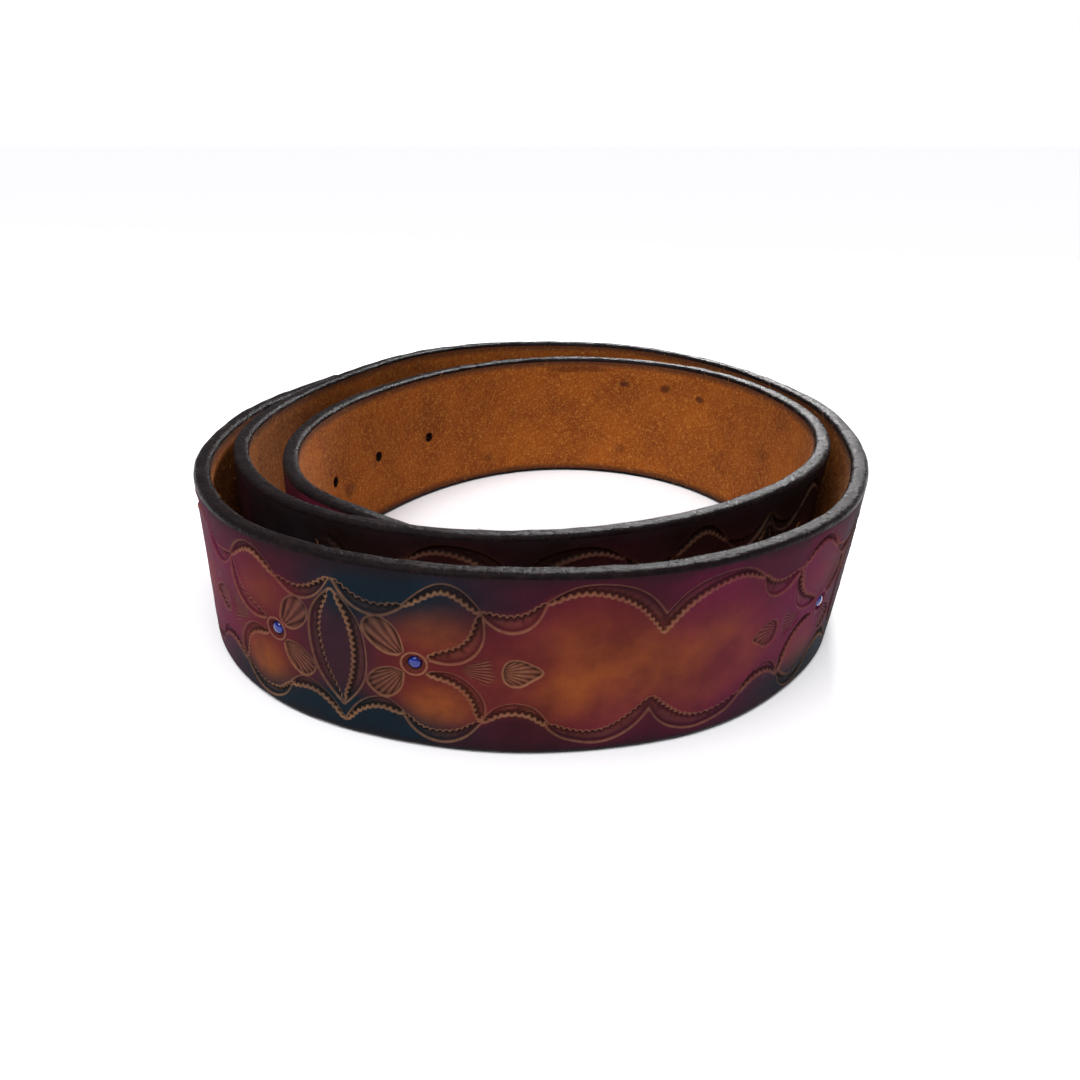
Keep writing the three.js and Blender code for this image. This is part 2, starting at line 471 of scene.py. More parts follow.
def signedDistance(a, v, ring):  # below zero inside the ring
    start, end = ring[:-1], ring[1:]
    run = end - start
    da = a[:, None] - start[:, 0]
    dv = v[:, None] - start[:, 1]
    lengths = np.maximum((run ** 2).sum(1), 1e-12)
    share = np.clip((da * run[:, 0] + dv * run[:, 1]) / lengths, 0, 1)
    apart = (da - share * run[:, 0]) ** 2 + (dv - share * run[:, 1]) ** 2
    nearestStep = apart.argmin(1)
    away = np.sqrt(apart[np.arange(len(a)), nearestStep])
    above = (start[:, 1] > v[:, None]) != (end[:, 1] > v[:, None])
    tall = np.where(np.abs(run[:, 1]) < 1e-12, 1e-12, run[:, 1])
    crossing = start[:, 0] + dv * run[:, 0] / tall
    inside = (above & (a[:, None] < crossing)).sum(1) % 2 == 1
    return np.where(inside, -away, away), nearestStep


def foldToHalf(s, v):
    s = s + ripple(s, v, "handAlong")
    v = v + ripple(s, v, "handUp")
    place = (s - tooling["firstLens"]) / tooling["repeat"]
    unit = np.clip(np.round(place), 0, tooling["lensCount"] - 1)
    local = (place - unit) * tooling["repeat"]
    return np.abs(local), v, np.sign(local)


toolSheets = ("shape", "toolLine", "toolCut", "toolRecess", "ribShare")


def toolMarks(s, v):
    a, vf, hand = foldToHalf(s, v)
    marks = {name: np.zeros_like(s) for name in (*toolSheets, "ribPhase")}
    marks["nearest"] = np.full_like(s, farAway)
    marks["toolEdge"] = np.full_like(s, farAway)  # from the nearest outline, below zero inside it
    on = (s > tooling["start"]) & (s < tooling["end"])
    for outline in outlines:
        low, high = outline["ring"].min(0) - farAway, outline["ring"].max(0) + farAway
        near = np.flatnonzero(on & (a > low[0]) & (a < high[0]) & (vf > low[1]) & (vf < high[1]))
        for part in np.array_split(near, 1 + len(near) // batch):
            if len(part):
                strikeOutline(marks, part, a[part], vf[part], outline)
    strikeFan(marks, a, vf, on)
    for stone in stonePlaces:
        near = np.flatnonzero(np.abs(s - stone) < tooling["ring"]["reach"])
        if len(near):
            ds, dv = s[near] - stone, v[near]
            strikeRing(marks, near, np.hypot(ds, dv), np.arctan2(dv, ds))
    return {**marks, "a": a, "v": vf, "hand": hand}


def lay(marks, part, where, **values):
    for name, value in values.items():
        marks[name][part] = np.where(where, value, marks[name][part])


def strikeOutline(marks, part, a, v, outline):
    away, step = signedDistance(a, v, outline["ring"])
    closer = np.abs(away) < np.abs(marks["toolEdge"][part])
    nearest = np.minimum(marks["nearest"][part], np.abs(away))
    inside = smoothStep(-away, *tooling["wall"])
    lip = np.exp(-((away - tooling["lip"]) / tooling["lip"]) ** 2)
    if "smoothSteps" in outline:  # a crescent, not a leaf
        cut = np.where(step >= outline["smoothSteps"], 1.0, tooling["smoothEdgeCut"])
        easing = 1 - smoothStep(-away, *tooling["easing"])
        press = -tooling["pressDepth"] * inside * (0.55 + 0.45 * cut * easing)
    else:
        cut = np.full_like(away, tooling["leafCut"])
        da, dv = a - outline["spread"][0], v - outline["spread"][1]
        phase = np.arctan2(dv, da) * outline["ribs"] * tooling["ribPace"]
        phase = phase + tooling["ribLean"] * np.hypot(da, dv)
        wave = 0.5 + 0.5 * np.cos(phase)
        press = -tooling["leafPress"] * tooling["pressDepth"] * inside * (0.65 + 0.35 * wave)
        nearest = np.where(away < 0, np.minimum(nearest, 0.3), nearest)
        lay(marks, part, away < tooling["ribReach"], ribPhase=phase)
        marks["ribShare"][part] = np.maximum(marks["ribShare"][part], smoothStep(-away, -0.05, 0.35))
    shape = np.where(away < 0.3, np.minimum(marks["shape"][part], press), marks["shape"][part])
    marks["shape"][part] = shape + tooling["lipHeight"] * lip * (shape > -0.02)
    marks["nearest"][part] = nearest
    # toolLine: how strongly the painted highlight of the tool lines shows along this outline
    lay(marks, part, closer, toolEdge=away, toolCut=cut, toolLine=0.45 + 0.55 * cut)


def strikeFan(marks, a, v, on):
    fan = tooling["fan"]
    half = fan["halfAngle"]
    da, dv = a - fan["apex"][0], v - fan["apex"][1]
    reach = np.hypot(da, dv)
    turn = np.degrees(np.arctan2(dv, da))
    phase = math.pi * fan["ribs"] * (turn + half) / half
    wave = 0.5 + 0.5 * np.cos(phase)
    share = smoothStep(reach, fan["inner"], fan["inner"] + 0.5)
    share = share * smoothStep(half + 2 - np.abs(turn), 0, 4)
    share = share * smoothStep(fan["outer"] + 0.35 * wave - reach, 0, 0.4) * on
    around = (reach > fan["inner"] - 1) & (reach < fan["outer"] + 1) & (np.abs(turn) < half + 15) & on
    # the fan's ribs take the full painted highlight of the tool lines
    lay(marks, ..., around, ribPhase=phase, toolLine=1.0)
    lay(marks, ..., share > 0.01, nearest=np.minimum(marks["nearest"], 0.2))
    marks["ribShare"] = np.maximum(marks["ribShare"], share)
    marks["shape"] -= fan["depth"] * share * (0.6 + 0.4 * wave)


def strikeRing(marks, near, reach, turn):  # the stamped ring and the seat of a stone
    ring = tooling["ring"]
    seat = tooling["seat"]
    calm = smoothStep(reach, *ring["calm"])  # other marks stop at the ring
    for name in ("shape", "toolCut", "toolRecess", "ribShare"):
        marks[name][near] *= calm
    ridge = np.exp(-((reach - ring["ridge"]) / ring["ridgeWidth"]) ** 2)
    ticks = 0.5 + 0.5 * np.cos(turn * ring["ticks"])
    channel = np.exp(-((reach - ring["channel"]) / ring["channelWidth"]) ** 2)
    sunk = smoothStep(seat["radius"] + seat["wall"] / 2 - reach, 0, seat["wall"])
    marks["shape"][near] += ring["ridgeHeight"] * ridge
    marks["shape"][near] -= ring["channelDepth"] * channel * (0.4 + 0.6 * ticks) + seat["depth"] * sunk
    # the ring's ticked channel and the stone's seat get painted shade
    pressed = np.maximum(0.6 * channel * ticks, sunk)
    marks["toolRecess"][near] = np.maximum(marks["toolRecess"][near], pressed)
    away = reach - ring["ridge"]
    closer = (reach < ring["edge"]) | (np.abs(away) < np.abs(marks["toolEdge"][near]))
    lay(marks, near, closer, toolEdge=away, toolLine=0.9)
    marks["nearest"][near] = np.minimum(marks["nearest"][near], np.abs(reach - 1.9) * 0.7)


stoneNames = sorted(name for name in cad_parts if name.startswith("stone_"))


def stoneDistances():  # how far along the strap each stone node stands
    places = []
    for i, name in enumerate(stoneNames):
        low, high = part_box(name)
        middle = np.array([low.x + high.x, low.y + high.y]) / 2 / mm
        guess = tooling["firstLens"] + (i // 2) * tooling["repeat"]
        guess += tooling["stoneFromLens"] * (1 if i % 2 else -1)
        span = np.abs(route["distance"] - guess) <= tooling["stoneSearch"]
        away = np.hypot(*(route["middle"][span] - middle).T)
        places.append(route["distance"][span][away.argmin()])
    return places


stonePlaces = stoneDistances()
print("tooling outlines:", len(outlines))


# The dye, sprayed on in patches over a plum ground. The magenta stretches are partly dye and partly
# painted sheen, and the dark stretch is partly darker dye and partly painted shade between the turns

dye = {
    "plum": tint(50, 18, 26),
    "redBrown": tint(86, 30, 28),
    "magenta": tint(92, 20, 56),
    "blueBlack": tint(15, 28, 37),
    "orange": tint(144, 76, 32),
    # dark, laid along the strap by darkAlong: a darker dye on the inner turns, deepened as painted
    # shade where the turn outside shades them
    "dark": tint(26, 15, 13),
    "darkAlong": [(0, 0.3), (60, 0.0), (500, 0.0), (590, 0.85), (790, 0.85), (880, 0.5), (1100, 0.3)],
    # where the magenta lies along the strap: the dye's own magenta, made stronger towards the front
    # left and the right as painted sheen
    "magentaAlong": [
        (0, 0.5), (60, 0.9), (112, 0.9), (132, 0.15), (190, 0.12), (216, 0.5), (244, 0.9),
        (330, 0.75), (365, 0.2), (450, 0.15), (480, 0.7), (560, 0.6), (700, 0.3), (1100, 0.6),
    ],
    "tooledFrom": (4, 12),
    "tooledTo": (901, 915),
    # ovals on a half repeat: middle, half lengths and strength
    "blueSided": [((13, 14), (17, 7.5), 1.0), ((-13, -15), (26, 6), 1.0), ((13, -15), (13, 6), 0.8)],
    "blueLens": [((0, 0), (9, 15), 0.7)],
    "lobes": [((19.5, -8.5), (6, 4.6), 0.86), ((18.5, 7.2), (6.2, 3.8), 0.4128)],
    "panels": [((50, -1), (17, 9.5), 0.85)],
}


def patches(a, v, ovals):  # soft-edged ovals, added up
    total = np.zeros_like(a)
    for middle, size, strength in ovals:
        reach = ((a - middle[0]) / size[0]) ** 2 + ((v - middle[1]) / size[1]) ** 2
        total += strength * np.exp(-reach ** 1.5)
    return total


def borderShare(a, v):  # 1 outside the scalloped borders
    edges = []
    for first in (0, 4):  # four crescents of the upper border, then four of the lower
        points = sorted(p for _, teeth in tooling["crescents"][first:first + 4] for p in teeth)
        edges.append(np.interp(a, *np.array(points).T))
    top, bottom = edges
    return np.maximum(smoothStep(v - top, -0.4, 1.6), smoothStep(bottom - v, -0.4, 1.6))


# The strap: a closed skin of small squares, split finer where it is tooled

skin = {
    "cell": 2.6,
    "innerCell": 3.0,
    "innerFrom": 515.0,
    "across": 14,
    "edgeCells": 8,
    "fleshCells": 8,
    "edgeRadius": 1.0,
    "outerCorner": 4.0,
    "tipLength": 38.0,
    "tipBlunt": 5.0,
    "tipCells": 26,
    "finest": 8,
    "nearEnd": [0, 0.1, 0.35, 0.7, 1.1, 1.7, 2.5, 3.3, 4.2],
    "splitWithin": (0.27, 0.58),  # how near a mark splits a cell, and a share of its width
    "splitTo": 930.0,
    "toolingHidden": (505, 515),  # the outer turn hides the tooling from here
    "peeking": ((632, 640), (750, 758)),  # but this stretch shows over it
    "peekingSplit": (635, 755),
    "peekingAbove": 2.0,
    "rim": (1.35, 0.75),
}


def baseStations():
    near, innerFrom = skin["nearEnd"], skin["innerFrom"]
    tipStart = strapLength - skin["tipLength"]
    parts = [near]
    for start, end, cell in ((near[-1], innerFrom, "cell"), (innerFrom, tipStart, "innerCell")):
        count = round((end - start) / skin[cell])
        parts.append(np.linspace(start, end, count + 1)[1:])
    sweep = np.linspace(0, math.pi / 2, skin["tipCells"] + 1)[1:]
    return np.concatenate([*parts, tipStart + skin["tipLength"] * np.sin(sweep)])


stations = baseStations()
fine = skin["finest"]
ringCells = skin["across"] + skin["fleshCells"] + 2 * skin["edgeCells"]
ringUnits = ringCells * fine
fleshStart = skin["across"] + skin["edgeCells"]
fleshEnd = fleshStart + skin["fleshCells"]
edgeRun = math.pi * skin["edgeRadius"] + coil["leather"] - 2 * skin["edgeRadius"]
flatRun = coil["width"] - 2 * skin["edgeRadius"]


def stationAt(x):
    return np.interp(np.asarray(x) / fine, np.arange(len(stations)), stations)


def roundedOff(toEnd, radius):  # what a round corner takes off, this far from its end
    into = np.clip(radius - toEnd, 0, radius)
    return radius - np.sqrt(radius ** 2 - into ** 2)


def halfWidthAt(s):
    blunt = skin["tipBlunt"]
    intoTip = np.clip((s - (strapLength - skin["tipLength"])) / skin["tipLength"], 0, 1)
    half = blunt + (coil["width"] / 2 - blunt) * np.sqrt(1 - intoTip ** 2)
    return half - roundedOff(s, skin["outerCorner"])


def sectionAt(y, half, side):
    # where a point of the ring lies: out through the grain side, and up from mid width
    radius = skin["edgeRadius"]
    cell = np.asarray(y, float) / fine
    across, edge, flesh = skin["across"], skin["edgeCells"], skin["fleshCells"]
    flat = half - radius
    arc = math.pi * radius / 2

    def roundEdge(share):
        walked = share * edgeRun
        first = np.clip(walked / arc, 0, 1) * math.pi / 2
        last = np.clip((walked - edgeRun + arc) / arc, 0, 1) * math.pi / 2
        straight = np.clip((walked - arc) / (edgeRun - 2 * arc), 0, 1)
        out = (side - radius) * (1 - 2 * straight) + radius * np.cos(first) * (straight == 0)
        out = np.where(last > 0, -side + radius - radius * np.sin(last), out)
        up = flat + np.where(last > 0, radius * np.cos(last), radius * np.sin(first))
        return out, up

    topOut, topUp = roundEdge(np.clip((cell - across) / edge, 0, 1))
    lowOut, lowUp = roundEdge(1 - np.clip((cell - fleshEnd) / edge, 0, 1))
    lies = [cell <= across, cell < fleshStart, cell <= fleshEnd]
    out = np.select(lies, [side, topOut, -side], lowOut)
    up = np.select(lies, [flat * (2 * cell / across - 1), topUp,
                          flat * (1 - 2 * (cell - fleshStart) / flesh)], -lowUp)
    return out, up


def ringDistance(y):  # millimetres round the section from the lower edge of the grain side
    sides = [0, skin["across"], fleshStart, fleshEnd, ringCells]
    return np.interp(y / fine, sides, np.cumsum([0, flatRun, edgeRun, flatRun, edgeRun]))


def splitCells():
    columns = len(stations) - 1
    x, y = np.meshgrid(np.arange(columns) * fine, np.arange(ringCells) * fine, indexing="ij")
    cells = np.stack([x.ravel(), y.ravel()], 1)
    leaves = []
    size = fine
    gap, share = skin["splitWithin"]
    peekFrom, peekTo = skin["peekingSplit"]
    while size > 1:
        s = stationAt(cells[:, 0] + size / 2)
        half = halfWidthAt(s)
        _, v = sectionAt(cells[:, 1] + size / 2, half, coil["leather"] / 2)
        grain = cells[:, 1] + size <= skin["across"] * fine
        wanted = np.zeros(len(cells), bool)
        picked = np.flatnonzero(grain & (s > tooling["start"] - 3) & (s < skin["splitTo"]))
        s, v = s[picked], v[picked]
        marks = toolMarks(s, v)
        width = skin["cell"] * size / fine
        peeking = (s > peekFrom) & (s < peekTo) & (v > skin["peekingAbove"])
        shown = (s < skin["innerFrom"]) | peeking
        wanted[picked] = (marks["nearest"] < gap + share * width) & shown
        leaves.append((size, cells[~wanted]))
        size //= 2
        offsets = np.array([(0, 0), (size, 0), (0, size), (size, size)])
        cells = (cells[wanted][:, None, :] + offsets[None]).reshape(-1, 2)
    leaves.append((1, cells))
    return leaves


def strapFaces(leaves):
    span = (len(stations) - 1) * fine
    isCorner = np.zeros((span + 1, ringUnits), bool)
    for size, cells in leaves:
        for dx, dy in ((0, 0), (size, 0), (0, size), (size, size)):
            isCorner[cells[:, 0] + dx, (cells[:, 1] + dy) % ringUnits] = True
    faces = []
    for size, cells in leaves:
        for x, y in cells.tolist():
            loop = []
            px, py = x, y
            for dx, dy in ((1, 0), (0, 1), (-1, 0), (0, -1)):
                for _ in range(size):
                    if isCorner[px, py % ringUnits]:
                        loop.append((px, py))
                    px, py = px + dx, py + dy
            faces.append(loop)
    for x in (0, span):
        ring = [(x, int(y)) for y in np.flatnonzero(isCorner[x])]
        faces.append(ring[::-1] if x == 0 else ring)
    return isCorner, faces


def strapMesh():
    leaves = splitCells()
    isCorner, faces = strapFaces(leaves)
    x, y = np.nonzero(isCorner)
    number = np.cumsum(isCorner).reshape(isCorner.shape) - 1
    s = stationAt(x)
    # the very ends are drawn in, in thickness and in width
    drawn = roundedOff(np.minimum(s, strapLength - s), skin["edgeRadius"])
    side = coil["leather"] / 2 - drawn
    half = halfWidthAt(s) - drawn
    out, up = sectionAt(y, half, side)
    cell = y / fine
    grainSide = cell <= skin["across"]
    fleshSide = (cell >= fleshStart) & (cell <= fleshEnd)
    marks = toolMarks(s, up)
    # the turns outside hide the rest of the tooling, which is left smooth
    rising, falling = skin["peeking"]
    seen = smoothStep(s, *rising) * (1 - smoothStep(s, *falling))
    seen = seen + 1 - smoothStep(s, *skin["toolingHidden"])
    for name in toolSheets:
        marks[name] = np.where(grainSide, marks[name] * seen, 0.0)
    out = out + marks["shape"] + ripple(s, up, "sides")
    up = up + ripple(s, out * 3, "edges") * (~grainSide & ~fleshSide)
    outward = alongRoute("outward", s) * out[:, None]
    height = np.maximum(alongRoute("lift", s) + coil["width"] / 2 + up, 0)
    place = np.column_stack([alongRoute("middle", s) + outward, height]) * mm
    mesh = bpy.data.meshes.new("beltStrap")
    polygons = [[int(number[px, py % ringUnits]) for px, py in face] for face in faces]
    mesh.from_pydata(place.tolist(), [], polygons)
    ringLength = ringDistance(np.array([py for face in faces for _, py in face]))
    lengthwise = stationAt([px for face in faces for px, _ in face])
    uv = mesh.uv_layers.new(name="alongStrap")
    uv.data.foreach_set("uv", np.column_stack([lengthwise, ringLength]).ravel() * mm)
    mesh.polygons.foreach_set("material_index", [sideOf(face) for face in faces])
    mesh.shade_smooth()
    dyeStrapWithPaintedLight(mesh, s, up, marks, grainSide)
    mesh.update()
    return mesh


# lays the strap's colours on as point attributes: the dye, with painted sheen, painted shade and the
# tool lines' painted highlight among them
def dyeStrapWithPaintedLight(mesh, s, up, marks, grainSide):
    a, v = marks["a"], marks["v"]
    tooled = smoothStep(s, *dye["tooledFrom"]) * (1 - smoothStep(s, *dye["tooledTo"]))
    border = borderShare(a, v) * tooled
    # magenta: dye with painted sheen; dark: darker dye with painted shade between the turns
    magenta, dark = (
        np.clip(np.interp(s, *np.array(dye[name + "Along"]).T) + ripple(s, up, name), 0, 1)
        for name in ("magenta", "dark"))
    blue = patches(a * marks["hand"], v, dye["blueSided"]) + patches(a, v, dye["blueLens"])
    cloud = 0.8 + ripple(s, up, "cloud")
    orange = patches(a, v, dye["lobes"]) + patches(a, v, dye["panels"]) * cloud
    # the orange spray is left out under the dark stretch, which is partly painted shade
    orange = np.clip(orange * tooled * (1 - 0.8 * magenta), 0, 1) * (1 - dark)
    ground = dye["redBrown"]
    layers = {"plum": border, "magenta": magenta * (1 - 0.45 * border),
              "blueBlack": np.clip(blue, 0, 1) * tooled, "dark": dark}
    for name, share in layers.items():
        ground = ground * (1 - share[:, None]) + np.array(dye[name]) * share[:, None]
    rim = smoothStep(np.abs(up), *(coil["width"] / 2 - np.array(skin["rim"])))
    rim = np.where(grainSide, rim * (s < strapLength - skin["tipLength"]), 1.0)
    # the tool lines are dimmed where the magenta lies and under the painted shade of the inner turns
    marks["toolLine"] *= (0.8 + ripple(s, up, "lines")) * (1 - 0.6 * magenta) * (1 - 0.78 * dark)
    sheets = {name: marks[name] for name in ("toolEdge", "ribPhase", *toolSheets[1:])}
    sheets.update(orangeSpray=orange, burnishedEdge=rim, acrossStrap=np.abs(up) * 2 / coil["width"])
    for name, values in sheets.items():
        layer = mesh.attributes.new(name, "FLOAT", "POINT")
        layer.data.foreach_set("value", values.astype(np.float32))
    colour = mesh.attributes.new("dyeGround", "FLOAT_COLOR", "POINT")
    colour.data.foreach_set("color", ground.astype(np.float32).ravel())


grainSlot, fleshSlot, edgeSlot = range(3)  # as makeStrap adds the finishes


def sideOf(face):
    rows = [py / fine for _, py in face]
    flat = len({px for px, _ in face}) > 1  # the two end faces are cut edges
    if max(rows) <= skin["across"]:
        return grainSlot
    return fleshSlot if flat and min(rows) >= fleshStart and max(rows) <= fleshEnd else edgeSlot


# The strap's three finishes

grainLook = {
    # line: the pale tan of the tool lines, partly wear on the crests and partly painted highlight on
    # the lit walls of the cuts
    "line": tint(150, 108, 78),
    # recess: painted shade in the tool cuts, the rib grooves and the stone seats, over the darker
    # pressed leather
    "recessShade": tint(30, 21, 16),
    "rim": tint(24, 20, 23),
    "poreScale": 1500.0,
    "cloudScale": 160.0,
    "fineScale": 900.0,
    "poreBump": 0.00009,
    "lineCentre": 0.06,
    "recessShadeShare": 0.72,
    "lineTanAndHighlight": 0.8,
    "rimDye": 0.93,
}


# the grain side's finish: dye, with painted sheen, painted shade and painted highlights from the
# strap's attributes and the tool lines
def dyedGrainWithPaintedLight():
    sheet = newMaterial("dyedGrainWithPaintedLight")
    cloud = sheet.noise(grainLook["cloudScale"], 5.0, Roughness=0.6)
    fineCloud = sheet.noise(grainLook["fineScale"], 4.0)
    pores = sheet.node("ShaderNodeTexVoronoi", {"feature": "SMOOTH_F1"}, {
        "Vector": sheet.place(), "Scale": grainLook["poreScale"], "Smoothness": 0.6})
    mottle = sheet.ramp(cloud, (0.3, 0.0), (0.7, 1.0))
    ground = sheet.attribute("dyeGround", "Color")
    shade = sheet.ramp(cloud, (0.25, 0.72), (0.75, 1.22))
    colour = sheet.blend(1.0, ground, shade, "MULTIPLY")
    spray = (sheet.attribute("orangeSpray") * (0.45 + mottle * 0.7)).held()
    colour = sheet.blend(spray, colour, dye["orange"])
    edge = sheet.attribute("toolEdge")
    toLine = edge.maths("ABSOLUTE", edge - grainLook["lineCentre"])
    phase = sheet.attribute("ribPhase")
    rib = sheet.attribute("ribShare")
    wave = 0.5 + 0.5 * phase.maths("COSINE", phase)
    depth = 0.0 - edge
    # painted shade, deepest just inside the toothed edges, in the stamped channels and in the rib
    # grooves, over the darker pressed leather
    floor = sheet.ramp(depth, (0.0, 0.0), (0.2, 1.0), (0.42, 0.9), (0.98, 0.0))
    cut = sheet.attribute("toolCut") * floor
    recessShade = (sheet.attribute("toolRecess") + cut + rib * wave * 0.75).held()
    colour = sheet.blend(recessShade * grainLook["recessShadeShare"], colour, grainLook["recessShade"])
    # the tool lines and the rib crests are lightened: painted highlight on the walls and crests of the
    # tooling, with some tan wear
    lineShare = sheet.attribute("toolLine")
    middle = 0.22 * sheet.ramp(depth, (0.45, 0.0), (0.98, 1.0))
    drawn = sheet.ramp(toLine, (0.08, 1.0), (0.3, 0.0)) + middle
    line = (lineShare * (drawn + rib * (1.0 - wave) * 0.65)).held()
    wearAndHighlight = (line * (0.25 + fineCloud)).held()
    colour = sheet.blend(wearAndHighlight * grainLook["lineTanAndHighlight"], colour, grainLook["line"])
    rim = sheet.attribute("burnishedEdge")
    colour = sheet.blend(rim * grainLook["rimDye"], colour, grainLook["rim"])
    rough = 0.6 + 0.14 * mottle + 0.1 * recessShade
    height = pores * 0.35 + fineCloud * (0.55 + rim * 1.6) + line * 0.9 - recessShade * 2.0
    bump = sheet.bump(height, 0.5, grainLook["poreBump"])
    return finishShader(sheet, colour, rough, 0.05, Normal=bump)


edgeLook = {"dark": tint(17, 10, 12), "wearAndHighlight": tint(38, 25, 25), "fibreScale": 900.0,
            "patchScale": 240.0, "bump": 0.0004}


def burnishedEdge():  # the cut edges, dyed dark and rubbed to a shine
    sheet = newMaterial("burnishedEdge")
    fibre = sheet.noise(edgeLook["fibreScale"], 5.0, Roughness=0.7)
    lumps = sheet.noise(edgeLook["patchScale"], 4.0)
    wearAndHighlight = sheet.ramp(fibre * 0.6 + lumps * 0.4, (0.48, 0.0), (0.66, 1.0))
    colour = sheet.blend(wearAndHighlight * 0.6, edgeLook["dark"], edgeLook["wearAndHighlight"])
    bump = sheet.bump(fibre + lumps * 0.6, 0.8, edgeLook["bump"])
    return finishShader(sheet, colour, 0.2 + 0.15 * lumps, 0.05, Normal=bump)


fleshLook = {
    "brown": tint(150, 78, 22),
    "gold": tint(196, 130, 54),
    "dark": tint(116, 56, 19),
    "bleed": tint(52, 32, 26),
    "stain": tint(60, 26, 14),
    "stains": [
        # distance along the strap, height from mid width, half lengths, strength
        (886, 15.6, 13.0, 1.3, 0.6), (870, 11.5, 2.2, 1.2, 0.75), (856, 11.4, 2.6, 1.5, 0.75),
        (843, 10.2, 2.0, 1.3, 0.75), (869, -9.8, 2.4, 1.6, 0.4), (984, -5.0, 4.0, 2.6, 0.45),
        (812, 2.0, 5.0, 2.2, 0.25), (918, -12.0, 3.0, 1.4, 0.3),
    ],
    "fibreScale": 1400.0,
    "cloudScale": 70.0,
    "raggedScale": 420.0,
    "fuzzBump": 0.00025,
}


def fleshSuede():
    sheet = newMaterial("fleshSuede")
    cloud = sheet.noise(fleshLook["cloudScale"], 6.0, Roughness=0.65)
    fuzz = sheet.noise(fleshLook["fibreScale"], 4.0, Distortion=1.5)
    lighter = sheet.ramp(cloud, (0.35, 0.0), (0.68, 1.0))
    colour = sheet.blend(lighter, fleshLook["dark"], fleshLook["brown"])
    specks = sheet.ramp(fuzz, (0.5, 0.0), (0.66, 1.0))
    colour = sheet.blend(specks * 0.6, colour, fleshLook["gold"])
    bled = sheet.attribute("acrossStrap") + cloud * 0.16
    colour = sheet.blend(sheet.ramp(bled, (0.92, 0.0), (1.0, 1.0)) * 0.75, colour, fleshLook["bleed"])
    laid = sheet.node("ShaderNodeUVMap", {"uv_map": "alongStrap"})
    ragged = sheet.noise(fleshLook["raggedScale"], 3.0)
    fleshMiddle = flatRun + edgeRun + flatRun / 2  # of the flesh side, as ringDistance counts
    for s, v, halfLength, halfHeight, strength in fleshLook["stains"]:
        centre = (s * mm, (fleshMiddle - v) * mm, 0.0)
        size = (1 / (halfLength * mm), 1 / (halfHeight * mm), 0.0)
        share = sheet.vector("MULTIPLY", sheet.vector("SUBTRACT", laid, centre), size)
        reach = sheet.vector("LENGTH", share, output=1)
        mark = sheet.ramp(reach + ragged * 0.7 - 0.35, (0.5, 1.0), (1.0, 0.0))
        colour = sheet.blend(mark * strength, colour, fleshLook["stain"])
    bump = sheet.bump(fuzz, 0.7, fleshLook["fuzzBump"])
    return finishShader(sheet, colour, 0.95, 0.15, Normal=bump)


def makeStrap():
    mesh = strapMesh()
    for finish in (dyedGrainWithPaintedLight, fleshSuede, burnishedEdge):
        mesh.materials.append(finish())
    strap = putOut("beltStrap", mesh)
    corners = sum(len(p.vertices) - 2 for p in mesh.polygons)
    print("strap:", len(mesh.polygons), "faces,", corners, "triangles")
    return strap


def newTree(name, **sizes):
    # a Geometry Nodes tree with these sizes and a material as its named inputs
    tree = bpy.data.node_groups.new(name, "GeometryNodeTree")
    kinds = {label: "Int" if isinstance(size, int) else "Float" for label, size in sizes.items()}
    for label, kind in {"Geometry": "Geometry", **kinds, "Material": "Material"}.items():
        socket = tree.interface.new_socket(label, in_out="INPUT", socket_type="NodeSocket" + kind)
        if label in sizes:
            socket.default_value = sizes[label]
    tree.interface.new_socket("Geometry", in_out="OUTPUT", socket_type="NodeSocketGeometry")
    sheet = NodeSheet(tree)
    entry = tree.nodes.new("NodeGroupInput")
    return sheet, {socket.name: Wire(sheet, socket) for socket in entry.outputs if socket.name}


def endTree(sheet, copies, given):
    solid = sheet.node("GeometryNodeRealizeInstances", None, {"Geometry": copies})
    look = {"Geometry": solid, "Material": given["Material"]}
    sheet.node("NodeGroupOutput", None, {"Geometry": sheet.node("GeometryNodeSetMaterial", None, look)})
    return sheet.tree


def standOn(sheet, points, form):
    # copies of a form on points, each with its own Z along the point's facing
    facing = sheet.node("GeometryNodeInputNamedAttribute", {"data_type": "FLOAT_VECTOR"},
                        {"Name": "facing"})
    turned = sheet.node("FunctionNodeAlignRotationToVector", {"axis": "Z"}, {"Vector": facing})
    return sheet.node("GeometryNodeInstanceOnPoints", None,
                      {"Points": points, "Instance": form, "Rotation": turned})


def growPiece(name, base, tree, material, **sizes):
    # runs the tree on a base mesh with these inputs, and keeps the result as a plain mesh
    carrier = putOut(name + "Base", base)
    modifier = carrier.modifiers.new(name, "NODES")
    modifier.node_group = tree
    given = {**sizes, "Material": material}
    for item in tree.interface.items_tree:
        if item.in_out == "INPUT" and item.name in given:
            modifier[item.identifier] = given[item.name]
    mesh = settledMesh(carrier)
    bpy.data.objects.remove(carrier)
    mesh.name = name
    print(name + ":", len(mesh.polygons), "faces")
    return putOut(name, mesh)


def inMetres(settings, *names):  # lengths from a piece's settings, as inputs of its tree
    return {name.capitalize(): settings[name] * mm for name in names}


def pointsOnStrap(name, distances, out, heights):
    # points `out` from the middle of the leather, facing out through the grain side
    outward = alongRoute("outward", distances)
    places = np.column_stack([alongRoute("middle", distances) + outward * out, heights]) * mm
    mesh = bpy.data.meshes.new(name)
    mesh.from_pydata(places.tolist(), [], [])
    facing = mesh.attributes.new("facing", "FLOAT_VECTOR", "POINT")
    facings = np.column_stack([outward, np.zeros(len(outward))]).astype(np.float32)
    facing.data.foreach_set("vector", facings.ravel())
    return mesh


# The punched holes by the tip

